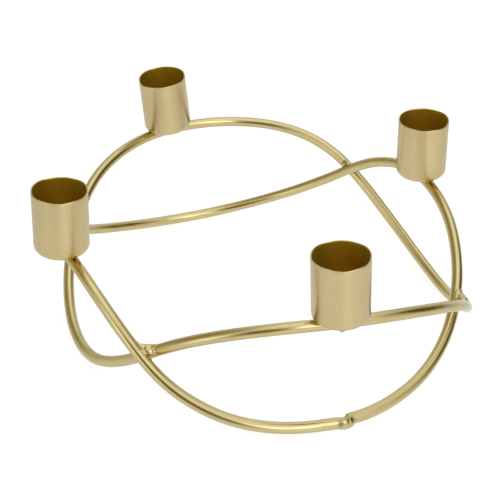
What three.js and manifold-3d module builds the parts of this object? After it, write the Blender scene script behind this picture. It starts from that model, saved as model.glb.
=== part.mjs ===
// A candle holder for four dinner candles, all of welded steel with a satin gold finish.
// Two equal rings of round wire are each bent into a wave with two crests and two valleys.
// They lie across each other, pass side by side at four crossings and are welded there.
// A deep-drawn cup is welded on each crest, and the holder stands on its four valleys.
// Millimetres, +Z up, +X to the right, +Y to the back. Nothing on it moves.
// The origin is on the table, in the middle of the space that the holder takes up.

import * as THREE from "three";
import { mergeVertices } from "three/addons/utils/BufferGeometryUtils.js";
import Module from "manifold-3d";

const wasm = await Module();
wasm.setup();

// Wire, and the clearance at every welded joint
const wireDiameter = 5;
const weldGap = 0.3;

// Rings, measured at the middle of the wire
const ringRadius = 92;
const crestHeight = 51;
const crossingHeight = 28;
const flankSteepness = 1.25; // slope at a crossing, against the smoothest curve through it

// Cups
const cupDiameter = 23.5;
const cupHeight = 28.4;
const cupWall = 0.6;
const cupFloor = 0.8;
const cupCorner = 2.9; // outside radius between the wall and the floor
const rimEarHeight = 0.25; // deep drawing leaves the rim slightly wavy
const rimEarCount = 4;

// Weld beads under the cups. On one of them, some metal has run down the outside of the wire.
const cupBeadWidth = 3.2;
const cupBeadLength = 8;
const dripWidth = 3.6;
const dripDepth = 2.4;
const dripLength = 4.8;

// Butt joint that closes the ring under the left and right cups
const buttJointAngle = 268;
const buttJointSwelling = 0.4;
const buttJointLength = 3.2;

// Both rings are bent and set by hand, so each place departs a little from the regular shape.
// Angles are in degrees about the upright axis, from +X towards +Y. Outward and lift are the
// distances from the ring's radius and from the height that such places have.
const crests = {
  front: { angle: -96, outward: 1, lift: -2 },
  back: { angle: 73, outward: 7.5, lift: 1.5 },
  left: { angle: 185, outward: 2.5, lift: -0.5 },
  right: { angle: 6, outward: -9, lift: 4 },
};
const valleys = {
  right: { angle: -13 },
  back: { angle: 95 },
  left: { angle: 184 },
  front: { angle: 260 },
};

// At a crossing, outer is the ring that passes outside. The weld bead has a width and the place
// of its middle, measured from the point between the two wires: along the rings towards larger
// angles, outward, and up.
const crossings = {
  front_right: {
    angle: -45,
    outward: 2,
    lift: -3.5,
    outer: "front_back",
    bead: { width: 5.4, along: 0, outward: 1.2, up: 3.2 },
  },
  back_right: {
    angle: 35,
    outward: -6,
    lift: 10.5,
    outer: "front_back",
    bead: { width: 4.6, along: 0, outward: 0.6, up: 2.4 },
  },
  back_left: {
    angle: 144,
    outward: 2.5,
    lift: 0,
    outer: "left_right",
    bead: { width: 5.2, along: 0, outward: 0, up: 2.6 },
  },
  front_left: {
    angle: 215,
    outward: 1.5,
    lift: -3,
    outer: "left_right",
    bead: { width: 5.6, along: 1, outward: 0.4, up: 2.6 },
  },
};

// Each cup stands on its ring near the crest, with its middle a little outward of the wire's or
// inward of it, and leans by a few degrees towards leanTowards.
const cups = {
  front: { ring: "front_back", angle: -96, outward: 0.5, lean: 4.5, leanTowards: 180, hasDrip: true },
  back: { ring: "front_back", angle: 95.5, outward: -2, lean: 9, leanTowards: -157 },
  left: { ring: "left_right", angle: 182.5, outward: 2, lean: 3, leanTowards: -100 },
  right: { ring: "left_right", angle: 0, outward: -1, lean: 5.5, leanTowards: -152 },
};

// Facets
const wireSides = 12;
const wireSteps = 128;
const buttJointSteps = 12;
const cutterSteps = 24;
const cupSegments = 36;
const cornerSteps = 4;
const beadSegments = 12;
const beadRows = 8;

const wireRadius = wireDiameter / 2;
const cupRadius = cupDiameter / 2;
const fullTurn = 2 * Math.PI;
const quarterTurn = Math.PI / 2;
const up = new THREE.Vector3(0, 0, 1);
const radians = THREE.MathUtils.degToRad;

// One value round a ring, such as its height, as a function of the angle. A cubic joins each
// pair of stations. Level stations have no slope. At the others the slope is the one that
// keeps the curvature even, times the steepness.
function smoothLoop(stations, steepness) {
  const count = stations.length;
  const angles = stations.map((station) => radians(station.angle));
  const values = stations.map((station) => station.value);
  const next = (i) => (i + 1) % count;
  const before = (i) => (i + count - 1) % count;
  const wrapped = (angle) => THREE.MathUtils.euclideanModulo(angle, fullTurn);
  const spans = angles.map((angle, i) => wrapped(angles[next(i)] - angle));
  const rises = values.map((value, i) => (values[next(i)] - value) / spans[i]);
  const slopes = new Array(count).fill(0);
  const relaxations = 60;
  for (let pass = 0; pass < relaxations; pass++) {
    stations.forEach((station, i) => {
      if (station.level) return;
      const [a, b] = [spans[before(i)], spans[i]];
      const pull = 3 * (rises[before(i)] * b + rises[i] * a);
      slopes[i] = (pull - slopes[before(i)] * b - slopes[next(i)] * a) / (2 * (a + b));
    });
  }
  return (angle) => {
    const turned = angles.map((start) => wrapped(angle - start));
    const i = turned.findIndex((turn, k) => turn < spans[k]);
    const j = next(i);
    const u = turned[i] / spans[i];
    const v = 1 - u;
    const ends = values[i] * v * v * (1 + 2 * u) + values[j] * u * u * (1 + 2 * v);
    return ends + steepness * spans[i] * u * v * (slopes[i] * v - slopes[j] * u);
  };
}

// A ring's height and radius at every angle, from the places that it passes in turn. Valleys
// rest on the table, and how far out they lie follows from the places beside them.
function makeRing(name, places) {
  const heights = [];
  const radii = [];
  for (const { angle, outward, lift, outer } of places) {
    const isValley = lift === undefined;
    const isCrossing = outer !== undefined;
    const usualHeight = isCrossing ? crossingHeight : crestHeight;
    heights.push({ angle, value: isValley ? wireRadius : usualHeight + lift, level: !isCrossing });
    if (isValley) continue;
    const side = outer === name ? 1 : -1;
    const aside = isCrossing ? (side * (wireDiameter + weldGap)) / 2 : 0;
    radii.push({ angle, value: ringRadius + outward + aside });
  }
  return { heightAt: smoothLoop(heights, flankSteepness), radiusAt: smoothLoop(radii, 1) };
}

const rings = {
  front_back: makeRing("front_back", [
    crests.front,
    crossings.front_right,
    valleys.right,
    crossings.back_right,
    crests.back,
    crossings.back_left,
    valleys.left,
    crossings.front_left,
  ]),
  left_right: makeRing("left_right", [
    crests.right,
    crossings.back_right,
    valleys.back,
    crossings.back_left,
    crests.left,
    crossings.front_left,
    valleys.front,
    crossings.front_right,
  ]),
};

// The level direction away from the upright axis at an angle in radians.
function radialDirection(angle) {
  return new THREE.Vector3(Math.cos(angle), Math.sin(angle), 0);
}

// The middle of a ring's wire at an angle.
function wireCentre(ring, angle) {
  return radialDirection(angle).multiplyScalar(ring.radiusAt(angle)).setZ(ring.heightAt(angle));
}

// The direction in which a ring's wire runs at an angle.
function wireDirection(ring, angle) {
  const step = 1e-3;
  return wireCentre(ring, angle + step).sub(wireCentre(ring, angle - step)).normalize();
}

// Round wire along a ring through the given angles, as one closed skin. A closed wire joins its
// last section to its first, and an open one has flat ends. swellingAt adds to the radius and
// lifts the wire by as much, so that its underside stays where it was.
function wireGeometry(ring, angles, radius, closed, swellingAt = () => 0) {
  const positions = [];
  for (const angle of angles) {
    const swelling = swellingAt(angle);
    const centre = wireCentre(ring, angle).addScaledVector(up, swelling);
    const along = wireDirection(ring, angle);
    const above = up.clone().addScaledVector(along, -up.dot(along)).normalize();
    const aside = along.clone().cross(above);
    for (let side = 0; side < wireSides; side++) {
      const turn = (fullTurn * side) / wireSides;
      const point = centre.clone();
      point.addScaledVector(above, -Math.cos(turn) * (radius + swelling));
      point.addScaledVector(aside, Math.sin(turn) * (radius + swelling));
      positions.push(...point.toArray());
    }
  }
  const faces = [];
  const sections = angles.length;
  const corner = (section, side) => (section % sections) * wireSides + (side % wireSides);
  for (let section = 0; section < (closed ? sections : sections - 1); section++) {
    for (let side = 0; side < wireSides; side++) {
      const a = corner(section, side);
      const b = corner(section, side + 1);
      const c = corner(section + 1, side + 1);
      const d = corner(section + 1, side);
      faces.push(a, c, b, a, d, c);
    }
  }
  for (let side = 1; side < wireSides - 1 && !closed; side++) {
    faces.push(corner(0, 0), corner(0, side), corner(0, side + 1));
    const last = sections - 1;
    faces.push(corner(last, 0), corner(last, side + 1), corner(last, side));
  }
  const geometry = new THREE.BufferGeometry();
  geometry.setAttribute("position", new THREE.Float32BufferAttribute(positions, 3));
  geometry.setIndex(faces);
  return geometry;
}

function evenAngles(from, to, steps) {
  return Array.from({ length: steps }, (_, i) => from + ((to - from) * i) / steps);
}

// A whole ring without a visible joint of its own.
function plainRingGeometry(ring) {
  return wireGeometry(ring, evenAngles(0, fullTurn, wireSteps), wireRadius, true);
}

// A whole ring with its ends butted and welded, which leaves the wire a little thicker there.
function buttJointedRingGeometry(ring) {
  const joint = radians(buttJointAngle);
  const reach = (2 * buttJointLength) / ringRadius;
  const angles = [
    ...evenAngles(joint - reach, joint + reach, buttJointSteps),
    ...evenAngles(joint + reach, joint - reach + fullTurn, wireSteps),
  ];
  const swellingAt = (angle) => {
    const halfLengths = ((angle - joint) * ringRadius) / (buttJointLength / 2);
    return buttJointSwelling * Math.exp(-(halfLengths ** 2));
  };
  return wireGeometry(ring, angles, wireRadius, true, swellingAt);
}

// Points of a quarter round, from angle start to end about its centre.
function quarterRound(x, y, radius, start, end) {
  return Array.from({ length: cornerSteps + 1 }, (_, i) => {
    const angle = start + ((end - start) * i) / cornerSteps;
    return new THREE.Vector2(x + radius * Math.cos(angle), y + radius * Math.sin(angle));
  });
}

// A turned shape whose axis is +Z.
function turnedGeometry(profile) {
  return new THREE.LatheGeometry(profile, cupSegments).rotateX(Math.PI / 2);
}

// A drawn cup standing on the origin: rounded at the foot, with one wall thickness and a wavy rim.
function cupGeometry() {
  const bore = cupRadius - cupWall;
  const innerCorner = Math.max(cupCorner - cupWall, cupFloor / 2);
  const profile = [
    new THREE.Vector2(0, 0),
    ...quarterRound(cupRadius - cupCorner, cupCorner, cupCorner, -quarterTurn, 0),
    new THREE.Vector2(cupRadius, cupHeight),
    new THREE.Vector2(bore, cupHeight),
    ...quarterRound(bore - innerCorner, cupFloor + innerCorner, innerCorner, 0, -quarterTurn),
    new THREE.Vector2(0, cupFloor),
  ];
  const geometry = turnedGeometry(profile);
  const position = geometry.attributes.position;
  for (let i = 0; i < position.count; i++) {
    if (position.getZ(i) < cupHeight - rimEarHeight / 2) continue;
    const around = Math.atan2(position.getY(i), position.getX(i));
    const dip = (rimEarHeight * (1 - Math.cos(rimEarCount * around))) / 2;
    position.setZ(i, cupHeight - dip);
  }
  return geometry;
}

// The space that a cup fills, with the welding clearance all round.
function cupCutterGeometry() {
  const radius = cupRadius + weldGap;
  const corner = cupCorner + weldGap;
  return turnedGeometry([
    new THREE.Vector2(0, -weldGap),
    ...quarterRound(radius - corner, cupCorner, corner, -quarterTurn, 0),
    new THREE.Vector2(radius, cupHeight),
    new THREE.Vector2(0, cupHeight),
  ]);
}

// Where a cup stands: its axis, its foot high enough for all the wire under its flat floor, and
// the place on the floor's underside that is right over the wire.
function cupSeat(cup) {
  const ring = rings[cup.ring];
  const angle = radians(cup.angle);
  const axis = up.clone().applyAxisAngle(new THREE.Vector3(0, 1, 0), radians(cup.lean));
  axis.applyAxisAngle(up, radians(cup.leanTowards));
  const contact = wireCentre(ring, angle);
  const foot = contact.clone().addScaledVector(radialDirection(angle), cup.outward);
  const reach = (cupRadius - cupCorner) / ringRadius;
  const under = evenAngles(angle - reach, angle + reach, cutterSteps);
  const heights = under.map((place) => wireCentre(ring, place).sub(foot).dot(axis));
  foot.addScaledVector(axis, Math.max(...heights) + wireRadius + weldGap);
  contact.addScaledVector(axis, foot.clone().sub(contact).dot(axis));
  const turn = new THREE.Quaternion().setFromUnitVectors(up, axis);
  return { ring, angle, axis, foot, contact, turn };
}

// Joining and cutting
function solidOf(geometry, matrix = new THREE.Matrix4()) {
  const bare = new THREE.BufferGeometry();
  bare.setAttribute("position", geometry.attributes.position.clone());
  bare.setIndex(geometry.index.clone());
  const merged = mergeVertices(bare.applyMatrix4(matrix), 1e-4);
  return new wasm.Manifold(
    new wasm.Mesh({
      numProp: 3,
      vertProperties: merged.attributes.position.array,
      triVerts: new Uint32Array(merged.index.array),
    }),
  );
}

function geometryOf(solid) {
  const mesh = solid.getMesh();
  const geometry = new THREE.BufferGeometry();
  geometry.setAttribute("position", new THREE.Float32BufferAttribute(mesh.vertProperties, mesh.numProp));
  geometry.setIndex(Array.from(mesh.triVerts));
  geometry.computeVertexNormals();
  return geometry;
}

// The space that a stretch of wire fills near an angle, with the welding clearance all round.
function wireCutter(ring, angle) {
  const reach = cupDiameter / ringRadius;
  const angles = evenAngles(angle - reach, angle + reach, cutterSteps);
  return solidOf(wireGeometry(ring, angles, wireRadius + weldGap, false));
}

// A rounded lump of weld metal, given by its centre, its half widths and the two directions
// that its first and last half width follow.
function lump(centre, halfWidths, along, upwards) {
  const aside = upwards.clone().cross(along).normalize();
  const upright = along.clone().cross(aside).normalize();
  const matrix = new THREE.Matrix4().makeBasis(along, aside, upright);
  matrix.scale(new THREE.Vector3(...halfWidths)).setPosition(centre);
  return solidOf(new THREE.SphereGeometry(1, beadSegments, beadRows), matrix);
}

const goldLacquer = { color: 0xc4b280, metalness: 1 };
const wireMetal = new THREE.MeshStandardMaterial({ ...goldLacquer, roughness: 0.28 });
const cupMetal = new THREE.MeshStandardMaterial({ ...goldLacquer, roughness: 0.42 });
const weldMetal = new THREE.MeshStandardMaterial({ ...goldLacquer, roughness: 0.35 });

const holder = new THREE.Group();

function addMesh(name, geometry, material) {
  const mesh = new THREE.Mesh(geometry, material);
  mesh.name = name;
  holder.add(mesh);
  return mesh;
}

addMesh("wire_ring_front_back", plainRingGeometry(rings.front_back), wireMetal);
addMesh("wire_ring_left_right", buttJointedRingGeometry(rings.left_right), wireMetal);

// Each crossing is held by a bead beside the two wires.
for (const [place, { angle: degrees, bead }] of Object.entries(crossings)) {
  const angle = radians(degrees);
  const outwards = radialDirection(angle);
  const along = up.clone().cross(outwards);
  const middle = wireCentre(rings.front_back, angle).lerp(wireCentre(rings.left_right, angle), 0.5);
  middle.addScaledVector(along, bead.along).addScaledVector(outwards, bead.outward);
  middle.addScaledVector(up, bead.up);
  const halfWidth = bead.width / 2;
  const cut = lump(middle, [halfWidth, halfWidth, halfWidth], along, up)
    .subtract(wireCutter(rings.front_back, angle))
    .subtract(wireCutter(rings.left_right, angle));
  addMesh("weld_" + place, geometryOf(cut), weldMetal);
}

// Each cup is held by a bead on each side of the wire, in the crook under its floor. The middle
// of a bead lies a quarter of the bead's width off both the wire and the floor.
for (const [place, cup] of Object.entries(cups)) {
  const seat = cupSeat(cup);
  const cupMesh = addMesh("cup_" + place, cupGeometry(), cupMetal);
  cupMesh.position.copy(seat.foot);
  cupMesh.quaternion.copy(seat.turn);
  cupMesh.updateMatrix();
  const cupSpace = solidOf(cupCutterGeometry(), cupMesh.matrix);
  const wireSpace = wireCutter(seat.ring, seat.angle);
  const along = wireDirection(seat.ring, seat.angle);
  const outwards = along.clone().cross(seat.axis).normalize();
  const halfWidth = cupBeadWidth / 2;
  const aside = Math.sqrt(2 * (wireRadius + weldGap) * halfWidth);
  for (const [side, sign] of [["outer", 1], ["inner", -1]]) {
    const centre = seat.contact.clone().addScaledVector(outwards, sign * aside);
    centre.addScaledVector(seat.axis, -halfWidth / 2);
    let bead = lump(centre, [cupBeadLength / 2, halfWidth, halfWidth], along, seat.axis);
    if (cup.hasDrip && side === "outer") {
      const flank = seat.contact.clone().addScaledVector(outwards, wireRadius);
      flank.addScaledVector(seat.axis, -wireDiameter / 2 - weldGap);
      bead = bead.add(lump(flank, [dripWidth / 2, dripDepth / 2, dripLength / 2], along, seat.axis));
    }
    const cut = bead.subtract(cupSpace).subtract(wireSpace);
    addMesh("weld_cup_" + place + "_" + side, geometryOf(cut), weldMetal);
  }
}

// The origin goes to the middle of the space that the holder takes up, on the table.
const space = new THREE.Box3().setFromObject(holder, true);
const middle = space.getCenter(new THREE.Vector3());
holder.position.set(-middle.x, -middle.y, -space.min.z);

const candleHolder = new THREE.Group();
candleHolder.add(holder);
export default candleHolder;
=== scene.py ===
# A gold lacquered candle holder of welded steel: two waved rings of round wire across each
# other, with a drawn cup on each crest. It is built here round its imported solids, in metres.

import math

import bpy
import numpy as np
from mathutils import Matrix, Vector


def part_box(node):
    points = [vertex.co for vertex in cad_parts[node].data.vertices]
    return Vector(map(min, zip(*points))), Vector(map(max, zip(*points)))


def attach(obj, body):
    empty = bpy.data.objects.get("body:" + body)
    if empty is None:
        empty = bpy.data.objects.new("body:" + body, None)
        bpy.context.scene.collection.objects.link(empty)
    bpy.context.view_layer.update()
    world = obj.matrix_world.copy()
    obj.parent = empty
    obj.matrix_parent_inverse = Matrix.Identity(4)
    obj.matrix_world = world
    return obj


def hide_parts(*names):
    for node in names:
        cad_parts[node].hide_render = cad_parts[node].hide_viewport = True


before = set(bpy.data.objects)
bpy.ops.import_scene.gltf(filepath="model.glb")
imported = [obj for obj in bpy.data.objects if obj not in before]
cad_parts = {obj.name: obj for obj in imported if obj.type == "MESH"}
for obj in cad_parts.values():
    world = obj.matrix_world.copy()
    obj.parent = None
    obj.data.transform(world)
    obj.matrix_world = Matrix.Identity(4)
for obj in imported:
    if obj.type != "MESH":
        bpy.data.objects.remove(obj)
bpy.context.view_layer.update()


# ---- Wire rings ----
# Two rings of 5 mm steel wire, each bent into a wave with two crests and two valleys. They lie
# across each other and pass side by side at four crossings. The holder stands on the valleys.
# The ring under the left and right cups has its ends butted and welded at the front.

MM = 0.001
WIRE_RADIUS = 2.5
WELD_GAP = 0.3
RING_RADIUS = 92.0
CREST_HEIGHT = 51.0
CROSSING_HEIGHT = 28.0
FLANK_STEEPNESS = 1.25

CRESTS = {
    "front": {"angle": -96, "outward": 1, "lift": -2},
    "back": {"angle": 73, "outward": 7.5, "lift": 1.5},
    "left": {"angle": 185, "outward": 2.5, "lift": -0.5},
    "right": {"angle": 6, "outward": -9, "lift": 4},
}
VALLEYS = {
    "right": {"angle": -13},
    "back": {"angle": 95},
    "left": {"angle": 184},
    "front": {"angle": 260},
}
CROSSINGS = {
    "front_right": {"angle": -45, "outward": 2, "lift": -3.5, "outer": "front_back"},
    "back_right": {"angle": 35, "outward": -6, "lift": 10.5, "outer": "front_back"},
    "back_left": {"angle": 144, "outward": 2.5, "lift": 0, "outer": "left_right"},
    "front_left": {"angle": 215, "outward": 1.5, "lift": -3, "outer": "left_right"},
}
RING_PLACES = {
    "front_back": [
        CRESTS["front"], CROSSINGS["front_right"], VALLEYS["right"], CROSSINGS["back_right"],
        CRESTS["back"], CROSSINGS["back_left"], VALLEYS["left"], CROSSINGS["front_left"],
    ],
    "left_right": [
        CRESTS["right"], CROSSINGS["back_right"], VALLEYS["back"], CROSSINGS["back_left"],
        CRESTS["left"], CROSSINGS["front_left"], VALLEYS["front"], CROSSINGS["front_right"],
    ],
}

SLOPE_ROUNDS = 60
WIRE_SIDES = 36
WIRE_STEP = 0.9

# How far the bent wire strays up and aside, and how its thickness varies.
WIRE_STRAY_UP = 0.05
WIRE_STRAY_ASIDE = 0.07
WIRE_THINNER = 0.02
WIRE_SWELL = 0.015

# The butt joint: where it lies and how finely it is meshed, the slanting seam between its two
# ends, and how far the ends stand off each other.
BUTT_ANGLE = 267.1
BUTT_REACH = 9.0
BUTT_STEP = 0.28
SEAM_SIDE = 122
SEAM_MIDDLE = 0.75
SEAM_SLANT = 1.0
SEAM_WIDTH = 0.22
ENDS_FADE = 5.5
LEFT_END_ASIDE = 0.85
RIGHT_END_UP = 0.37
BOTH_ENDS_DOWN = 0.12

# Lumps and notches of the butt joint: distance along the wire, side, height, length, and spread
# round the wire in radians.
BUTT_LUMPS = [
    (-2.0, 50, 0.55, 2.4, 0.55),
    (-1.9, 205, -0.30, 2.2, 0.60),
    (-3.7, 110, -0.20, 0.9, 0.25),
    (-0.6, 122, -0.25, 0.6, 0.50),
    (1.3, 126, -0.20, 0.7, 0.25),
]

# How closely the grain of the lacquer is packed along the wire and round it.
GRAIN_ALONG = 0.12
GRAIN_ROUND = 3.0


def unit(vectors):
    return vectors / np.linalg.norm(vectors, axis=-1, keepdims=True)


def smooth_loop(angles, values, level, steepness):
    """One value round a ring as a function of the angle in radians, through its stations."""
    count = len(angles)
    angles = np.radians(np.array(angles, float))
    values = np.array(values, float)
    spans = np.mod(np.roll(angles, -1) - angles, 2 * math.pi)
    rises = (np.roll(values, -1) - values) / spans
    slopes = np.zeros(count)
    for _ in range(SLOPE_ROUNDS):
        for i in range(count):
            if level[i]:
                continue
            a, b = spans[i - 1], spans[i]
            pull = 3 * (rises[i - 1] * b + rises[i] * a)
            slopes[i] = (pull - slopes[i - 1] * b - slopes[(i + 1) % count] * a) / (2 * (a + b))

    def value_at(angle):
        turned = np.mod(np.asarray(angle, float)[..., None] - angles, 2 * math.pi)
        i = np.argmax(turned < spans, axis=-1)
        j = (i + 1) % count
        u = np.take_along_axis(turned, i[..., None], -1)[..., 0] / spans[i]
        v = 1 - u
        ends = values[i] * v * v * (1 + 2 * u) + values[j] * u * u * (1 + 2 * v)
        return ends + steepness * spans[i] * u * v * (slopes[i] * v - slopes[j] * u)

    return value_at


def make_ring(name):
    """A ring's height and radius in millimetres as functions of the angle."""
    heights, radii = [], []
    for place in RING_PLACES[name]:
        crossing = "outer" in place
        if "lift" not in place:
            heights.append((place["angle"], WIRE_RADIUS, True))
            continue
        usual = CROSSING_HEIGHT if crossing else CREST_HEIGHT
        heights.append((place["angle"], usual + place["lift"], not crossing))
        aside = (WIRE_RADIUS + WELD_GAP / 2) if crossing else 0
        if crossing and place["outer"] != name:
            aside = -aside
        radii.append((place["angle"], RING_RADIUS + place["outward"] + aside, False))
    return {
        "height": smooth_loop(*zip(*heights), FLANK_STEEPNESS),
        "radius": smooth_loop(*zip(*radii), 1.0),
    }


RINGS = {name: make_ring(name) for name in RING_PLACES}


def wire_centre(ring, angle):
    """The middle of the wire, in millimetres about the rings' own centre."""
    angle = np.asarray(angle, float)
    radius, height = RINGS[ring]["radius"](angle), RINGS[ring]["height"](angle)
    return np.stack([radius * np.cos(angle), radius * np.sin(angle), height], -1)


def wire_direction(ring, angle):
    angle = np.asarray(angle)
    return unit(wire_centre(ring, angle + 1e-3) - wire_centre(ring, angle - 1e-3))


def ripple(along, seed, wavelengths, total):
    """Small smooth unevenness along a closed length, the same each run."""
    draw = np.random.default_rng(seed)
    result = np.zeros_like(along)
    for wavelength in wavelengths:
        turns = max(1, round(total / wavelength))
        depth = draw.uniform(0.5, 1)
        result += depth * np.sin(2 * math.pi * (turns * along / total + draw.random()))
    return result / len(wavelengths)


def mesh_piece(name, points, faces, material, attributes):
    """A smooth shaded mesh from points in millimetres, riding on the holder."""
    mesh = bpy.data.meshes.new(name)
    mesh.from_pydata(((points + SHIFT) * MM).tolist(), [], faces)
    for polygon in mesh.polygons:
        polygon.use_smooth = True
    for key, values in attributes.items():
        values = np.asarray(values, np.float32)
        kind, field = ("FLOAT", "value") if values.ndim == 1 else ("FLOAT_VECTOR", "vector")
        mesh.attributes.new(key, kind, "POINT").data.foreach_set(field, values.ravel())
    mesh.materials.append(material)
    mesh.validate()
    mesh.update()
    piece = bpy.data.objects.new(name, mesh)
    bpy.context.scene.collection.objects.link(piece)
    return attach(piece, "root")


def grid_faces(rows, columns, close_rows):
    """Quads over a grid of points that closes on itself across its columns."""
    faces = []
    for row in range(rows if close_rows else rows - 1):
        for column in range(columns):
            after_row, after_column = (row + 1) % rows, (column + 1) % columns
            faces.append((
                row * columns + column, row * columns + after_column,
                after_row * columns + after_column, after_row * columns + column,
            ))
    return faces


class Field:
    """A value over a surface. Arithmetic on it adds the Math nodes that work it out."""

    def __init__(self, finish, socket):
        self.finish, self.socket = finish, socket

    def math(self, operation, *values, clamp=False):
        settings = {"operation": operation, "use_clamp": clamp}
        return self.finish.node("ShaderNodeMath", settings, dict(enumerate(values)))

    def __add__(self, other):
        return self.math("ADD", self, other)

    def __sub__(self, other):
        return self.math("SUBTRACT", self, other)

    def __rsub__(self, other):
        return self.math("SUBTRACT", other, self)

    def __mul__(self, other):
        return self.math("MULTIPLY", self, other)

    def __truediv__(self, other):
        return self.math("DIVIDE", self, other)

    def __pow__(self, other):
        return self.math("POWER", self, other)

    def clamped(self):
        return self.math("ADD", self, 0.0, clamp=True)

    __radd__ = __add__
    __rmul__ = __mul__


class Finish:
    """A material, or the world, made of nodes."""

    def __init__(self, owner):
        owner.use_nodes = True
        self.owner, self.tree = owner, owner.node_tree
        self.tree.nodes.clear()

    def node(self, kind, settings=None, inputs=None, output=0):
        made = self.tree.nodes.new(kind)
        for key, value in (settings or {}).items():
            setattr(made, key, value)
        for key, value in (inputs or {}).items():
            if isinstance(value, Field):
                self.tree.links.new(value.socket, made.inputs[key])
            else:
                made.inputs[key].default_value = value
        return Field(self, made.outputs[output]) if len(made.outputs) else made

    def noise(self, vector, scale, detail, roughness):
        inputs = {"Vector": vector, "Scale": scale, "Detail": detail, "Roughness": roughness}
        return self.node("ShaderNodeTexNoise", {}, inputs)

    def mixed(self, share, first, second):
        """A colour between two colours."""
        return self.node("ShaderNodeMix", {"data_type": "RGBA"}, {0: share, 6: first, 7: second}, 2)

    def attribute(self, name, output):
        return self.node("ShaderNodeAttribute", {"attribute_name": name}, {}, output)


# The lacquer: the size of its blotches and flecks, its gold inside a cup, painted deeper as painted
# shade and reflection, its brown tint near the welds, and its colour in dark marks, some of them a
# painted dark reflection. Its bumps are in metres.
BLOTCH_SCALE = 95.0
FLECK_SCALE = 2600.0
PAINTED_INSIDE_REFLECTION = (0.67, 0.485, 0.042, 1.0)
BROWN_TINT = (0.55, 0.37, 0.08, 1.0)
DARK_MARK = (0.12, 0.09, 0.025, 1.0)


def metal_finish(name, gold, roughness, grain_bump, fleck_bump):
    """Satin gold lacquer over steel. It is tinted brown near the welds, and dark marks darken it in
    spots: soot in the pits of the beads, and on one bead a painted dark reflection. Inside a cup it
    is painted deeper, as painted shade and reflection."""
    finish = Finish(bpy.data.materials.new(name))
    place = finish.node("ShaderNodeTexCoord", {}, {}, "Object")
    spot_strength = finish.attribute("brown_tint", "Fac")
    dark_marks_and_painted_reflection = finish.attribute("dark_marks_and_painted_reflection", "Fac")
    inside = finish.attribute("inside", "Fac")
    blotches = finish.noise(place, BLOTCH_SCALE, 3.0, 0.55)
    flecks = finish.noise(place, FLECK_SCALE, 2.0, 0.6)
    grain = finish.noise(finish.attribute("run", "Vector"), 1.0, 3.0, 0.6)
    pale = [c * 1.05 for c in gold] + [1.0]
    deep = [c * 0.94 for c in gold] + [1.0]
    metal = finish.mixed((blotches * 1.6 - 0.3).clamped(), deep, pale)
    # Inside a cup the gold is painted deeper and browner: painted shade and reflection of the cup's
    # walls in each other.
    metal = finish.mixed(inside, metal, PAINTED_INSIDE_REFLECTION)
    tinted = (spot_strength * 1.3 + (blotches - 0.5) * spot_strength * 0.8).clamped()
    metal = finish.mixed(tinted, metal, BROWN_TINT)
    # Dark marks: soot in the pits of the beads, dark marks in the butt joint, and on one bead a
    # painted dark reflection.
    metal = finish.mixed(dark_marks_and_painted_reflection, metal, DARK_MARK)
    uneven = (blotches - 0.5) * 0.06 + (grain - 0.5) * 0.05
    bump = finish.node("ShaderNodeBump", {}, {
        "Strength": 1.0, "Distance": fleck_bump, "Height": flecks})
    bump = finish.node("ShaderNodeBump", {}, {
        "Strength": 1.0, "Distance": grain_bump, "Height": grain, "Normal": bump})
    shader = finish.node("ShaderNodeBsdfPrincipled", {}, {
        "Base Color": metal,
        "Metallic": 1.0,
        "Roughness": uneven + inside * 0.2 + dark_marks_and_painted_reflection * 0.3 + roughness,
        "Specular Tint": (0.82, 0.82, 0.86, 1.0),
        "Coat Weight": 0.15,
        "Coat Roughness": 0.22,
        "Coat IOR": 1.45,
        "Normal": bump,
    })
    finish.node("ShaderNodeOutputMaterial", {}, {"Surface": shader})
    return finish.owner


WIRE_GOLD = (0.56, 0.47, 0.23)
wire_finish = metal_finish(
    "satin_gold_wire", WIRE_GOLD, roughness=0.15, grain_bump=0.000008, fleck_bump=0.000002)


def strength_of_spots(points, spots):
    """How strongly points are covered by spots: (place, reach, strength) each."""
    spot_strength = np.zeros(len(points))
    for place, reach, strength in spots:
        distance = np.linalg.norm(points - place, axis=1)
        spot_strength = np.maximum(spot_strength, strength * np.exp(-((distance / reach) ** 2)))
    return spot_strength


def on_wire(ring, angle, side, lift=0.0):
    """A place on the skin of a ring, or lifted off it, at an angle and a side in degrees."""
    angle, side = math.radians(angle), math.radians(side)
    ahead = wire_direction(ring, angle)
    above = unit(np.array([0, 0, 1.0]) - ahead * ahead[2])
    ray = -math.cos(side) * above + math.sin(side) * np.cross(ahead, above)
    return wire_centre(ring, angle) + (WIRE_RADIUS + lift) * ray


# Where the wires are tinted brown near the welds: ring, angle, side, reach in millimetres and
# strength. A side of 0 is below, 90 outward and 180 above.
TINTED_WIRE_SPOTS = [
    ("left_right", 187.5, 165, 5.0, 0.46), ("left_right", 191, 160, 5.5, 0.34),
    ("left_right", 187.8, 165, 2.4, 0.52),
    ("left_right", 354.6, 195, 5.0, 0.46), ("left_right", 351, 170, 6.0, 0.34),
    ("left_right", 354.2, 195, 2.2, 0.52),
    ("front_back", 102.8, 205, 1.5, 0.30), ("front_back", 258.6, 160, 3.6, 0.40),
    ("front_back", 216.2, 80, 3.0, 0.75), ("front_back", 219.5, 80, 4.2, 0.45),
    ("front_back", 217.4, 156, 2.0, 0.30),
    ("left_right", -46, 120, 3.0, 0.20), ("left_right", -50, 90, 4.5, 0.35),
    ("front_back", 35, 180, 3.2, 0.25), ("left_right", 35, 180, 3.2, 0.25),
    ("front_back", 144, 180, 3.6, 0.25), ("left_right", 144, 180, 3.6, 0.25),
]

# Dark marks in the butt joint, given in the same way.
DARK_MARKED_WIRE = [
    ("left_right", 266.7, 122, 1.2, 1.0), ("left_right", 267.3, 124, 1.0, 0.8),
    ("left_right", 267.9, 128, 1.1, 1.0), ("left_right", 264.7, 112, 1.3, 0.9),
    ("left_right", 266.8, 200, 0.8, 0.5),
]


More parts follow.
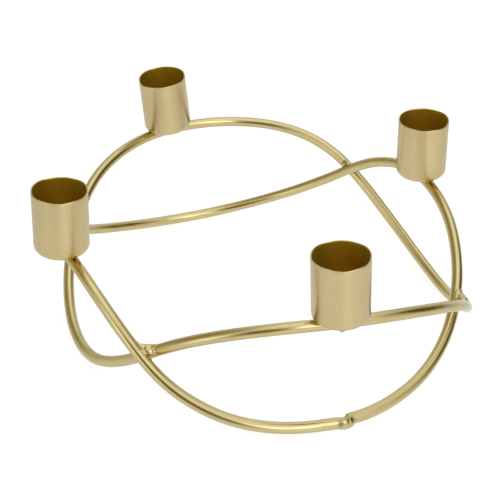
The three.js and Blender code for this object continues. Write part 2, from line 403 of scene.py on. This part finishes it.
def ring_skin(name, seed, butt_angle=None):
    """The points and faces of a ring, and the places of its points in the lacquer's grain, with
    the wire's small unevenness and its butt joint."""
    dense = np.linspace(0, 2 * math.pi, 6001)
    steps = np.linalg.norm(np.diff(wire_centre(name, dense), axis=0), axis=1)
    lengths = np.concatenate([[0], np.cumsum(steps)])
    total = lengths[-1]
    if butt_angle is None:
        along = np.arange(0, total, WIRE_STEP)
    else:
        joint = np.interp(math.radians(butt_angle), dense, lengths)
        near = np.arange(joint - BUTT_REACH, joint + BUTT_REACH, BUTT_STEP)
        far = np.arange(joint + BUTT_REACH, joint - BUTT_REACH + total, WIRE_STEP)
        along = np.concatenate([near, far])
    angle = np.interp(np.mod(along, total), lengths, dense)
    centre = wire_centre(name, angle)
    ahead = wire_direction(name, angle)
    above = unit(np.array([0, 0, 1.0]) - ahead * ahead[:, 2:3])
    aside = np.cross(ahead, above)
    stray_up = WIRE_STRAY_UP * ripple(along, seed, (23, 37, 61), total)
    stray_aside = WIRE_STRAY_ASIDE * ripple(along, seed + 1, (29, 43, 71), total)
    centre = centre + above * stray_up[:, None]
    centre = centre + aside * stray_aside[:, None]
    turn = np.linspace(0, 2 * math.pi, WIRE_SIDES, endpoint=False)
    radius = WIRE_RADIUS - WIRE_THINNER + WIRE_SWELL * ripple(along, seed + 2, (11, 17), total)
    radius = np.repeat(radius[:, None], WIRE_SIDES, 1)
    cosines, sines = np.cos(turn)[None, :, None], np.sin(turn)[None, :, None]
    ray = -cosines * above[:, None, :] + sines * aside[:, None, :]
    if butt_angle is not None:
        offset = (along - joint)[:, None]
        seam = SEAM_MIDDLE - SEAM_SLANT * np.sin(turn - math.radians(SEAM_SIDE))
        right_end = 1 / (1 + np.exp(-np.clip((offset - seam) / SEAM_WIDTH, -60, 60)))
        fade = np.exp(-((offset / ENDS_FADE) ** 2))
        for place, side, height, length, spread in BUTT_LUMPS:
            around = np.angle(np.exp(1j * (turn - math.radians(side))))
            lump = np.exp(-(((offset - place) / length) ** 2) - (around / spread) ** 2)
            radius = radius + height * lump
        end_aside = LEFT_END_ASIDE * (1 - right_end) * fade
        end_up = (RIGHT_END_UP * right_end - BOTH_ENDS_DOWN) * fade
        astray = aside[:, None, :] * end_aside[:, :, None] + above[:, None, :] * end_up[:, :, None]
        ray = ray + astray / radius[:, :, None]
    points = centre[:, None, :] + radius[:, :, None] * ray
    run = np.stack([
        np.repeat(along[:, None] * GRAIN_ALONG, WIRE_SIDES, 1),
        np.tile(GRAIN_ROUND * np.cos(turn), (len(along), 1)),
        np.tile(GRAIN_ROUND * np.sin(turn), (len(along), 1)),
    ], -1)
    return points.reshape(-1, 3), grid_faces(len(along), WIRE_SIDES, True), run.reshape(-1, 3)


ring_skins = {
    "front_back": ring_skin("front_back", seed=3),
    "left_right": ring_skin("left_right", seed=13, butt_angle=BUTT_ANGLE),
}


def packed_shift():
    """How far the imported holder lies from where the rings' own centre would be the origin."""
    low, high = [np.array(corner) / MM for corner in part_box("wire_ring_front_back")]
    centre = wire_centre("front_back", np.linspace(0, 2 * math.pi, 7201))
    shift = (low + high - centre.min(axis=0) - centre.max(axis=0)) / 2
    shift[2] = low[2] - centre[:, 2].min() + WIRE_RADIUS
    return shift


SHIFT = packed_shift()


def wire_spots(spots):
    """Spots on the wires as places, for each ring."""
    placed = {name: [] for name in RING_PLACES}
    for ring, angle, side, reach, strength in spots:
        placed[ring].append((on_wire(ring, angle, side), reach, strength))
    return placed


wire_tint, wire_dark_marks = wire_spots(TINTED_WIRE_SPOTS), wire_spots(DARK_MARKED_WIRE)
for name, (points, faces, run) in ring_skins.items():
    piece = mesh_piece("ring_" + name, points, faces, wire_finish, {
        "brown_tint": strength_of_spots(points, wire_tint[name]),
        "dark_marks_and_painted_reflection": strength_of_spots(points, wire_dark_marks[name]),
        "run": run,
    })
    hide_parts("wire_ring_" + name)


# ---- Cups ----
# Four cups, each deep drawn from thin steel sheet, with a rounded foot and a slightly wavy rim.
# Each stands on its ring near the crest, leaning a little as it was welded.

CUP_RADIUS = 11.75
CUP_HEIGHT = 28.4
CUP_WALL = 0.6
CUP_FLOOR = 0.8
CUP_CORNER = 2.9
LIP_RADIUS = 0.28

# The cup's mesh: its sides, and the rows of points along each stretch of its profile.
CUP_SIDES = 144
CUP_MIDDLE = 0.4
FOOT_ROWS = 8
CORNER_ROWS = 12
WALL_ROWS = 24
LIP_ROWS = 6
INNER_CORNER_ROWS = 10
ROWS_TO_LIP = FOOT_ROWS + CORNER_ROWS + WALL_ROWS + LIP_ROWS + 1

# A cup's fine waves and its ovalness, as a count of waves and a depth each. Its wall is drawn in
# by a little, and the waves of the rim fade out down the top quarter.
LEAST_DIP = 0.02
RIM_SOFTNESS = 0.02
FINE_WAVES = [(7, 0.03), (11, 0.02)]
OVALNESS = [(2, 0.03), (3, 0.015)]
WALL_DRAWN_IN = 0.045
WAVY_SHARE = 0.25
CUP_GRAIN = [0.9, 0.9, 0.08]
CUP_SEED = 20

# The rim of a drawn cup dips a little in waves. They are given as the mean dip, and then for one
# to five waves round the rim as their depth and the angle in degrees where they are deepest.
CUPS = {
    "front": {
        "ring": "front_back", "angle": -96, "outward": 0.5, "lean": 4.5, "towards": 180,
        "rim": (0.27, [(0.07, -28), (0.18, -90), (0.18, 49), (0.09, -31), (0.22, 21)]),
    },
    "back": {
        "ring": "front_back", "angle": 95.5, "outward": -2, "lean": 9, "towards": -157,
        "rim": (0.10, [(0.19, -132), (0.02, 11), (0.40, -48), (0.05, -10), (0.21, 34)]),
    },
    "left": {
        "ring": "left_right", "angle": 182.5, "outward": 2, "lean": 3, "towards": -100,
        "rim": (0.26, [(0.02, -49), (0.05, 71), (0.22, -49), (0.08, -17), (0.17, 32)]),
    },
    "right": {
        "ring": "left_right", "angle": 0, "outward": -1, "lean": 5.5, "towards": -152,
        "rim": (0.13, [(0.19, -84), (0.10, -79), (0.25, 52), (0.08, -42), (0.15, 18)]),
    },
}


def cup_seat(cup):
    """The foot of a cup on its ring, its axis, and the angle where it stands."""
    angle = math.radians(cup["angle"])
    lean, towards = math.radians(cup["lean"]), math.radians(cup["towards"])
    axis = np.array([
        math.sin(lean) * math.cos(towards), math.sin(lean) * math.sin(towards), math.cos(lean)])
    outward = np.array([math.cos(angle), math.sin(angle), 0])
    foot = wire_centre(cup["ring"], angle) + cup["outward"] * outward
    reach = (CUP_RADIUS - CUP_CORNER) / RING_RADIUS
    under = angle + np.linspace(-reach, reach, 24, endpoint=False)
    highest = ((wire_centre(cup["ring"], under) - foot) @ axis).max()
    foot = foot + axis * (highest + WIRE_RADIUS + WELD_GAP)
    return foot, axis, angle


SEATS = {name: cup_seat(cup) for name, cup in CUPS.items()}


def round_corner(x, y, radius, start, end, rows):
    turn = np.radians(np.linspace(start, end, rows + 1))
    return np.stack([x + radius * np.cos(turn), y + radius * np.sin(turn)], -1)


def cup_profile():
    """Half a cup from the middle of its underside over the lip to the middle of its floor."""
    bore = CUP_RADIUS - CUP_WALL
    inner = CUP_CORNER - CUP_WALL
    foot = np.linspace(CUP_MIDDLE, CUP_RADIUS - CUP_CORNER, FOOT_ROWS)
    lip_height = CUP_HEIGHT - LIP_RADIUS
    wall = np.linspace(CUP_CORNER, lip_height, WALL_ROWS + 2)[1:-1]
    floor = np.linspace(bore - inner, CUP_MIDDLE, FOOT_ROWS)[1:]
    return np.concatenate([
        np.stack([foot, np.zeros_like(foot)], -1),
        round_corner(CUP_RADIUS - CUP_CORNER, CUP_CORNER, CUP_CORNER, -90, 0, CORNER_ROWS)[1:],
        np.stack([np.full_like(wall, CUP_RADIUS), wall], -1),
        round_corner(CUP_RADIUS - LIP_RADIUS, lip_height, LIP_RADIUS, 0, 90, LIP_ROWS),
        round_corner(bore + LIP_RADIUS, lip_height, LIP_RADIUS, 90, 180, LIP_ROWS),
        np.stack([np.full_like(wall, bore), wall[::-1]], -1),
        round_corner(bore - inner, CUP_FLOOR + inner, inner, 0, -90, INNER_CORNER_ROWS),
        np.stack([floor, np.full_like(floor, CUP_FLOOR)], -1),
    ])


def cup_skin(name, seed):
    """The points and faces of a cup, the places of its points in the lacquer's grain, and which
    of them are inside."""
    draw = np.random.default_rng(seed)
    profile = cup_profile()
    foot, axis, _ = SEATS[name]
    turn = np.linspace(0, 2 * math.pi, CUP_SIDES, endpoint=False)
    mean_dip, waves = CUPS[name]["rim"]
    dip = mean_dip + sum(
        depth * np.cos(count * (turn - math.radians(deepest)))
        for count, (depth, deepest) in enumerate(waves, 1))
    for count, depth in FINE_WAVES:
        dip = dip + depth * np.sin(count * turn + draw.random() * 6)
    dip = LEAST_DIP + (dip + np.sqrt(dip * dip + RIM_SOFTNESS)) / 2
    above_plain = profile[:, 1] - (1 - WAVY_SHARE) * CUP_HEIGHT
    share = np.clip(above_plain / (WAVY_SHARE * CUP_HEIGHT), 0, 1) ** 2
    height = profile[:, 1:2] - share[:, None] * dip
    oval = sum(depth * np.cos(count * turn + draw.random() * 6) for count, depth in OVALNESS)
    oval = oval - WALL_DRAWN_IN
    radius = profile[:, 0:1] * (1 + oval / CUP_RADIUS * np.clip(profile[:, 1:2] / CUP_HEIGHT, 0, 1))
    local = np.stack([radius * np.cos(turn), radius * np.sin(turn), height], -1).reshape(-1, 3)
    x_axis = unit(np.cross([0, 1.0, 0], axis))
    points = local @ np.stack([x_axis, np.cross(axis, x_axis), axis]) + foot
    points = np.concatenate([points, [foot, foot + axis * CUP_FLOOR]])
    rows = len(profile)
    faces = grid_faces(rows, CUP_SIDES, False)
    last = (rows - 1) * CUP_SIDES
    under, floor_middle = rows * CUP_SIDES, rows * CUP_SIDES + 1
    for column in range(CUP_SIDES):
        after = (column + 1) % CUP_SIDES
        faces.append((under, after, column))
        faces.append((floor_middle, last + column, last + after))
    run = np.concatenate([local * CUP_GRAIN, np.zeros((2, 3))])
    # Which points lie inside the cup, where the gold is painted deeper as painted shade and
    # reflection.
    past_lip = np.clip((np.arange(rows) - ROWS_TO_LIP) / LIP_ROWS, 0, 1)
    inside = np.append(np.repeat(past_lip, CUP_SIDES), [0, 1])
    return points, faces, run, inside


# Where the cups are tinted brown near the welds, as for the wires, with the distance off the wire
# added.
TINTED_CUP_SPOTS = [
    ("left_right", 188.8, 158, 3.2, 3.4, 0.48), ("left_right", 188.2, 160, 1.2, 1.8, 0.52),
    ("left_right", 353.3, 208, 4.2, 3.4, 0.45), ("left_right", 353.8, 205, 1.5, 1.8, 0.52),
    ("front_back", 102.3, 216, 2.0, 2.4, 0.35), ("front_back", 257.7, 140, 5.0, 2.6, 0.40),
]

GOLD = (0.585, 0.477, 0.25)
cup_finish = metal_finish(
    "satin_gold_cup", GOLD, roughness=0.28, grain_bump=0.000006, fleck_bump=0.0000013)
cup_tint = [
    (on_wire(ring, angle, side, lift), reach, strength)
    for ring, angle, side, lift, reach, strength in TINTED_CUP_SPOTS]
for seed, name in enumerate(CUPS, CUP_SEED):
    points, faces, run, inside = cup_skin(name, seed)
    piece = mesh_piece("drawn_cup_" + name, points, faces, cup_finish, {
        "brown_tint": strength_of_spots(points, cup_tint),
        "run": run,
        "inside": inside,
    })
    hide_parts("cup_" + name)


# ---- Welds ----
# Beads of weld metal run by hand: one beside the wires at each crossing, and one on each side
# of the wire in the crook under each cup. They are lacquered with the rest.

WELD_ROWS = 44
WELD_COLUMNS = 72
WELD_BITE = 0.35

# A bead's surface is full of small random waves. It is found from the middle outwards in steps,
# and then by halving the last step.
SURFACE_WAVES = 14
SURFACE_PITCH = 1.9
OUTWARD_STEPS = 40
HALVINGS = 9

# The beads at the crossings: their fillets, roughness and random seed, and the share of the
# wires' brown tint that shows on them.
CROSSING_FILLET = 0.4
CROSSING_ROUGHNESS = 0.035
CROSSING_SEED = 40
BEAD_TINT_SHARE = 0.35

# The beads under the cups: the same, with their half sizes along and across the crook, their
# place in it, how far they reach, and the reach and strength of their own brown tint.
CUP_BEAD_FILLET = 0.3
CUP_BEAD_ROUGHNESS = 0.05
CUP_BEAD_SEED = 60
CUP_BEAD_LENGTH = 4.0
CUP_BEAD_HALF = 1.6
CUP_BEAD_FLATNESS = 0.8
CUP_BEAD_ASIDE = 0.72
CUP_BEAD_DOWN = 0.75
CUP_BEAD_CAP = 4.6
CUP_BEAD_TINT = (3.0, 0.4)

# The metal that has run down outside the front cup: its half sizes, its place off the wire, and
# how far the bead reaches with it.
DRIP_HALVES = [1.7, 1.2, 2.9]
DRIP_OUT = 0.1
DRIP_UP = 1.6
DRIP_CAP = 5.2


def wire_distance(ring, angle):
    """The distance of points from the skin of a stretch of wire about an angle."""
    stretch = wire_centre(ring, angle + np.linspace(-0.16, 0.16, 65))

    def distance(points):
        gaps = np.linalg.norm(points[:, None, :] - stretch[None, :, :], axis=2)
        return gaps.min(axis=1) - WIRE_RADIUS

    return distance


def cup_distance(foot, axis):
    """The distance of points from the skin of a cup's lower half."""
    def distance(points):
        offset = points - foot
        height = offset @ axis
        radial = np.linalg.norm(offset - height[:, None] * axis, axis=1)
        x = radial - (CUP_RADIUS - CUP_CORNER)
        y = CUP_CORNER - height
        outside = np.hypot(np.maximum(x, 0), np.maximum(y, 0))
        return outside + np.minimum(np.maximum(x, y), 0) - CUP_CORNER

    return distance


def lump_distance(centre, halves, basis):
    """The distance of points from an egg shaped lump."""
    def distance(points):
        local = (points - centre) @ basis.T
        return (np.linalg.norm(local / halves, axis=1) - 1) * min(halves)

    return distance


def run_distance(start, end, start_radius, end_radius):
    """The distance of points from a run of weld metal, which may grow thicker on its way."""
    def distance(points):
        way = end - start
        share = np.clip((points - start) @ way / (way @ way), 0, 1)
        radius = start_radius + (end_radius - start_radius) * share
        return np.linalg.norm(points - start - share[:, None] * way, axis=1) - radius

    return distance


def blended(distances, soft):
    """The smooth union of several shapes, so that they meet in a fillet."""
    stacked = np.stack(distances)
    lowest = stacked.min(axis=0)
    return lowest - soft * np.log(np.exp(-(stacked - lowest) / soft).sum(axis=0))


def weld_skin(centre, shapes, cap, soft, seed, roughness, pits_and_painted_marks=()):
    """A bead as a skin round its centre. It hugs the first two shapes, which it is welded to,
    and bites a little way into them."""
    polar = np.linspace(0, math.pi, WELD_ROWS + 2)[1:-1]
    turn = np.linspace(0, 2 * math.pi, WELD_COLUMNS, endpoint=False)
    rays = np.stack([
        np.sin(polar)[:, None] * np.cos(turn), np.sin(polar)[:, None] * np.sin(turn),
        np.cos(polar)[:, None] * np.ones_like(turn)], -1).reshape(-1, 3)
    rays = np.concatenate([rays, [[0, 0, 1.0], [0, 0, -1.0]]])
    draw = np.random.default_rng(seed)
    waves = draw.normal(size=(SURFACE_WAVES, 3)) * SURFACE_PITCH
    phases = draw.random(SURFACE_WAVES) * 2 * math.pi

    def field(points):
        lumpy = np.sin((points - centre) @ waves.T + phases).sum(axis=1) / SURFACE_WAVES
        distances = [shape(points) for shape in shapes]
        value = blended(distances, soft) + roughness * 3 * lumpy
        for place, size, depth in pits_and_painted_marks:
            distance = np.linalg.norm(points - place, axis=1)
            value = value + depth * np.exp(-((distance / size) ** 2))
        return np.maximum(value, -np.minimum(*distances[:2]) - WELD_BITE)

    reached = np.zeros(len(rays), bool)
    low, high = np.full(len(rays), 0.02), np.full(len(rays), cap)
    for step in np.linspace(0.05, cap, OUTWARD_STEPS):
        newly = ~reached & (field(centre + rays * step) > 0)
        high[newly] = step
        reached |= newly
        low[~reached] = step
    for _ in range(HALVINGS):
        middle = (low + high) / 2
        out = field(centre + rays * middle[:, None]) > 0
        high = np.where(out & reached, middle, high)
        low = np.where(~out & reached, middle, low)
    points = centre + rays * np.where(reached, (low + high) / 2, cap)[:, None]
    last = (WELD_ROWS - 1) * WELD_COLUMNS
    faces = [face[::-1] for face in grid_faces(WELD_ROWS, WELD_COLUMNS, False)]
    for column in range(WELD_COLUMNS):
        after = (column + 1) % WELD_COLUMNS
        faces.append((last + WELD_COLUMNS, column, after))
        faces.append((last + WELD_COLUMNS + 1, last + after, last + column))
    return points, faces


# The beads at the crossings. All places are measured from the point between the two wires:
# along the rings, outward and up. Lumps have half sizes after their place, runs have two ends
# with a radius each, and pits have a size, a depth and how dark they are: soot in the pits, and
# on the front right bead, where the depth is nothing, a painted dark reflection.
CROSSING_BEADS = {
    "front_right": {
        "centre": (2.2, 0.3, 2.5), "cap": 5.2,
        "lumps": [(0.6, 0.6, 2.2, 1.7, 1.6, 1.6)],
        "runs": [
            ((5.2, -2.0, 2.9, 1.2), (0.8, 1.2, 2.0, 2.0)),
            ((3.0, -1.6, 2.6, 1.6), (0.6, 0.2, 2.4, 1.8)),
        ],
        "pits_and_painted_marks": [
            ((0.4, 0.6, 4.2), 0.6, 0.4, 0.4), ((0.9, -1.6, 3.9), 0.6, 0.3, 0.3),
            # These three marks of no depth are painted dark reflection: the wire's dark streak
            # carried on over the bead's right edge.
            ((4.4, -0.4, 3.6), 1.1, 0.0, 0.75), ((3.0, 1.0, 3.5), 1.2, 0.0, 0.8),
            ((1.8, 2.6, 3.0), 1.1, 0.0, 0.7),
        ],
    },
    "back_right": {
        "centre": (0, 0.6, 2.4), "cap": 3.8,
        "lumps": [(0, 0.6, 2.4, 2.3, 1.8, 2.0)], "runs": [], "pits_and_painted_marks": [],
    },
    "back_left": {
        "centre": (0, 0, 2.6), "cap": 4.2,
        "lumps": [(0, 0, 2.6, 2.6, 2.2, 2.2)], "runs": [], "pits_and_painted_marks": [],
    },
    "front_left": {
        "centre": (-0.4, 0.0, 2.9), "cap": 6.0,
        "lumps": [(0.4, -0.1, 2.4, 2.4, 1.8, 1.9)],
        "runs": [
            ((-4.6, 0.9, 4.3, 0.5), (1.8, -2.2, 3.6, 1.3)),
            ((-2.2, 1.0, 3.0, 1.2), (0.9, -0.4, 1.7, 1.6)),
        ],
        "pits_and_painted_marks": [
            ((-3.0, 1.8, 4.6), 0.7, 0.30, 0.60), ((-0.9, 1.6, 4.4), 0.7, 0.40, 0.80),
            ((1.6, -0.6, 4.9), 0.7, 0.35, 0.60), ((1.6, 1.3, 1.6), 0.9, 0.40, 0.80),
        ],
    },
}

weld_finish = metal_finish(
    "lacquered_weld", GOLD, roughness=0.17, grain_bump=0.000004, fleck_bump=0.000002)


def place_weld(name, skin, tint_spots, dark_mark_and_reflection_spots=()):
    points, faces = skin
    piece = mesh_piece("bead_" + name, points, faces, weld_finish, {
        "brown_tint": strength_of_spots(points, tint_spots),
        "dark_marks_and_painted_reflection": strength_of_spots(points, dark_mark_and_reflection_spots),
        "run": points,
    })
    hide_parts("weld_" + name)


for index, (name, bead) in enumerate(CROSSING_BEADS.items()):
    angle = math.radians(CROSSINGS[name]["angle"])
    basis = np.array([
        [-math.sin(angle), math.cos(angle), 0], [math.cos(angle), math.sin(angle), 0], [0, 0, 1.0]])
    contact = (wire_centre("front_back", angle) + wire_centre("left_right", angle)) / 2
    shapes = [wire_distance("front_back", angle), wire_distance("left_right", angle)]
    for x, y, z, *halves in bead["lumps"]:
        shapes.append(lump_distance(contact + np.array([x, y, z]) @ basis, np.array(halves), basis))
    for (*start, start_radius), (*end, end_radius) in bead["runs"]:
        start, end = contact + start @ basis, contact + end @ basis
        shapes.append(run_distance(start, end, start_radius, end_radius))
    pits_and_painted_marks = [(contact + place @ basis, size, depth) for place, size, depth, _ in bead["pits_and_painted_marks"]]
    tint_spots = [
        (place, reach, BEAD_TINT_SHARE * strength)
        for ring in RINGS for place, reach, strength in wire_tint[ring]]
    # Their darkness: soot in the pits, and on the front right bead a painted dark reflection.
    dark_mark_and_reflection_spots = [
        (contact + place @ basis, 0.9 * size, darkening) for place, size, _, darkening in bead["pits_and_painted_marks"]]
    centre = contact + bead["centre"] @ basis
    seed = CROSSING_SEED + index
    skin = weld_skin(centre, shapes, bead["cap"], CROSSING_FILLET, seed, CROSSING_ROUGHNESS, pits_and_painted_marks)
    place_weld(name, skin, tint_spots, dark_mark_and_reflection_spots)

# Under each cup, a bead on each side of the wire. On the front cup some metal has run down.
for index, (name, (foot, axis, angle)) in enumerate(SEATS.items()):
    ring = CUPS[name]["ring"]
    along = wire_direction(ring, angle)
    outwards = unit(np.cross(along, axis))
    basis = np.stack([along, outwards, np.cross(along, outwards)])
    contact = wire_centre(ring, angle)
    contact = contact + axis * ((foot - contact) @ axis)
    for side, sign in (("outer", 1), ("inner", -1)):
        aside = CUP_BEAD_ASIDE * math.sqrt(2 * (WIRE_RADIUS + WELD_GAP) * CUP_BEAD_HALF)
        centre = contact + sign * aside * outwards - axis * CUP_BEAD_DOWN
        across = CUP_BEAD_HALF * CUP_BEAD_FLATNESS
        lump = lump_distance(centre, np.array([CUP_BEAD_LENGTH, across, across]), basis)
        shapes = [wire_distance(ring, angle), cup_distance(foot, axis), lump]
        cap = CUP_BEAD_CAP
        if name == "front" and side == "outer":
            drip = contact + outwards * (WIRE_RADIUS + DRIP_OUT)
            drip = drip - axis * (2 * WIRE_RADIUS - DRIP_UP)
            shapes.append(lump_distance(drip, np.array(DRIP_HALVES), basis))
            cap = DRIP_CAP
        seed = CUP_BEAD_SEED + 2 * index + (sign > 0)
        skin = weld_skin(centre, shapes, cap, CUP_BEAD_FILLET, seed, CUP_BEAD_ROUGHNESS)
        tint_spots = wire_tint[ring] + cup_tint + [(centre, *CUP_BEAD_TINT)]
        place_weld("cup_" + name + "_" + side, skin, tint_spots)


# ---- Floor, light and camera ----
# A white table under soft studio light, seen from in front and above. The pale and the dark
# parts of the studio are what the lacquer reflects. In the lacquer's reflections the table's glow
# is painted darker towards the left, as painted shade.

TABLE_HALF_WIDTH = 6
corners = [(x * TABLE_HALF_WIDTH, y * TABLE_HALF_WIDTH, 0)
           for x, y in ((-1, -1), (1, -1), (1, 1), (-1, 1))]
floor_mesh = bpy.data.meshes.new("table")
floor_mesh.from_pydata(corners, [], [(0, 1, 2, 3)])
floor = bpy.data.objects.new("table", floor_mesh)
bpy.context.scene.collection.objects.link(floor)

VIEW_AZIMUTH = math.radians(-26.0)
LIT_HALF_WIDTH = 0.22
TABLE_GLOW = 0.86
# How much darker the table's glow is painted towards the left, as painted shade seen in the metal.
TABLE_PAINTED_SHADE_LEFT = 0.12
TABLE_GREY = (0.22, 0.22, 0.22, 1.0)
TABLE_GLOSS_ROUGHNESS = 0.12
TABLE_GLOSS_IOR = 1.5
WHITE = (1.0, 1.0, 1.0, 1.0)
DEGREES = 180 / math.pi


def facing(finish, vector):
    """The x, y and z of a direction or place, with y pointing away from the camera."""
    turned = finish.node("ShaderNodeVectorRotate", {"rotation_type": "Z_AXIS"}, {
        "Vector": vector, "Angle": -VIEW_AZIMUTH})
    return [finish.node("ShaderNodeSeparateXYZ", {}, {"Vector": turned}, axis) for axis in "XYZ"]


table_finish = Finish(bpy.data.materials.new("white_table"))
path = {ray: table_finish.node("ShaderNodeLightPath", {}, {}, "Is " + ray + " Ray")
        for ray in ("Camera", "Glossy", "Transmission")}
seen = (path["Camera"] + path["Glossy"] + path["Transmission"]).clamped()
across = facing(table_finish, table_finish.node("ShaderNodeNewGeometry", {}, {}, "Position"))[0]
# Painted shade: the table's glow, as the metal reflects it, is painted darker towards the left.
painted_shade_left = (across / -LIT_HALF_WIDTH).clamped() * (1.0 - path["Camera"])
paper = table_finish.node("ShaderNodeBsdfDiffuse", {}, {"Color": TABLE_GREY})
glow = table_finish.node("ShaderNodeEmission", {}, {
    "Color": WHITE, "Strength": seen * (TABLE_GLOW - painted_shade_left * TABLE_PAINTED_SHADE_LEFT)})
matt = table_finish.node("ShaderNodeAddShader", {}, {0: paper, 1: glow})
sheen = table_finish.node("ShaderNodeBsdfGlossy", {}, {
    "Color": WHITE, "Roughness": TABLE_GLOSS_ROUGHNESS})
fresnel = table_finish.node("ShaderNodeFresnel", {}, {"IOR": TABLE_GLOSS_IOR})
surface = table_finish.node("ShaderNodeMixShader", {}, {
    0: fresnel * path["Glossy"], 1: matt, 2: sheen})
table_finish.node("ShaderNodeOutputMaterial", {}, {"Surface": surface})
floor_mesh.materials.append(table_finish.owner)

world = bpy.data.worlds.new("studio")
bpy.context.scene.world = world
studio = Finish(world)
x, y, z = facing(studio, studio.node("ShaderNodeTexCoord", {}, {}, "Generated"))
bearing = x.math("ARCTAN2", x, y * -1.0) * DEGREES
height = z.math("ARCSINE", z) * DEGREES


def patch(middle, size, sharpness):
    """A soft patch of the studio at a bearing from the camera's side and a height, in degrees."""
    sideways = (bearing - middle[0]) / size[0]
    upwards = (height - middle[1]) / size[1]
    sideways, upwards = sideways.math("ABSOLUTE", sideways), upwards.math("ABSOLUTE", upwards)
    spread = sideways ** sharpness + upwards ** sharpness
    return spread.math("POWER", math.e, spread * -1.0)


# A window of light to the right of the camera, a weaker one to its left, a bright ceiling and a
# white backdrop, with the darker and warmer room between them.
dark = (
    patch((-104, 42), (50, 36), 3) * 0.74
    + patch((-12, 18), (18, 23), 4) * 0.95
    + patch((110, 22), (25, 23), 4) * 0.80
    + patch((90, 20), (24, 30), 3) * 0.45
    + patch((146, 26), (16, 18), 3) * 0.35
    + patch((-42, 56), (20, 13), 3) * 0.20
    + patch((-155, 0), (45, 11), 3) * 0.25
).clamped()
lit = (
    patch((22, 28), (13, 17), 4) * 1.5
    + patch((42, 42), (14, 16), 4) * 1.0
    + patch((-45, 8), (12, 14), 3) * 0.80
    + patch((0, 90), (400, 28), 4) * 0.38
)
surround = studio.node("ShaderNodeCombineXYZ", {}, {
    0: 1.0 - dark * 0.85 + lit,
    1: 1.0 - dark * 0.90 + lit,
    2: (1.0 - dark * 0.90) * (1.0 - dark * 0.55) + lit * 1.12})
camera_ray = studio.node("ShaderNodeLightPath", {}, {}, "Is Camera Ray")
sky = studio.mixed(camera_ray, surround, WHITE)
background = studio.node("ShaderNodeBackground", {}, {"Color": sky, "Strength": 1.0})
studio.node("ShaderNodeOutputWorld", {}, {"Surface": background})

# The camera stands about 57 cm away, with a lens of 85 mm on a full frame. The lens was measured
# in points of a picture 500 across.
CAMERA_DISTANCE = 565.51
CAMERA_ELEVATION = math.radians(32.21)
CAMERA_ROLL = math.radians(2.23)
CAMERA_AIM = (-5.89, 0, 30.50)
FRAME_WIDTH = 36.0
LENS_IN_POINTS = 1180.87
PICTURE_WIDTH = 500

turn = Matrix.Rotation(VIEW_AZIMUTH, 3, "Z")
eye = Vector((
    0, -CAMERA_DISTANCE * math.cos(CAMERA_ELEVATION), CAMERA_DISTANCE * math.sin(CAMERA_ELEVATION)))
aim = Vector(CAMERA_AIM)
ahead = (aim - eye).normalized()
right = ahead.cross(Vector((0, 0, 1))).normalized()
upward = right.cross(ahead)
rolled_right = math.cos(CAMERA_ROLL) * right + math.sin(CAMERA_ROLL) * upward
rolled_up = -math.sin(CAMERA_ROLL) * right + math.cos(CAMERA_ROLL) * upward
camera_data = bpy.data.cameras.new("camera")
camera_data.sensor_width = FRAME_WIDTH
camera_data.lens = FRAME_WIDTH * LENS_IN_POINTS / PICTURE_WIDTH
camera = bpy.data.objects.new("camera", camera_data)
axes = Matrix((turn @ rolled_right, turn @ rolled_up, -(turn @ ahead))).transposed()
place = (turn @ eye + Vector(SHIFT)) * MM
camera.matrix_world = Matrix.Translation(place) @ axes.to_4x4()
bpy.context.scene.collection.objects.link(camera)
bpy.context.scene.camera = camera
bpy.context.scene.view_settings.view_transform = "Standard"
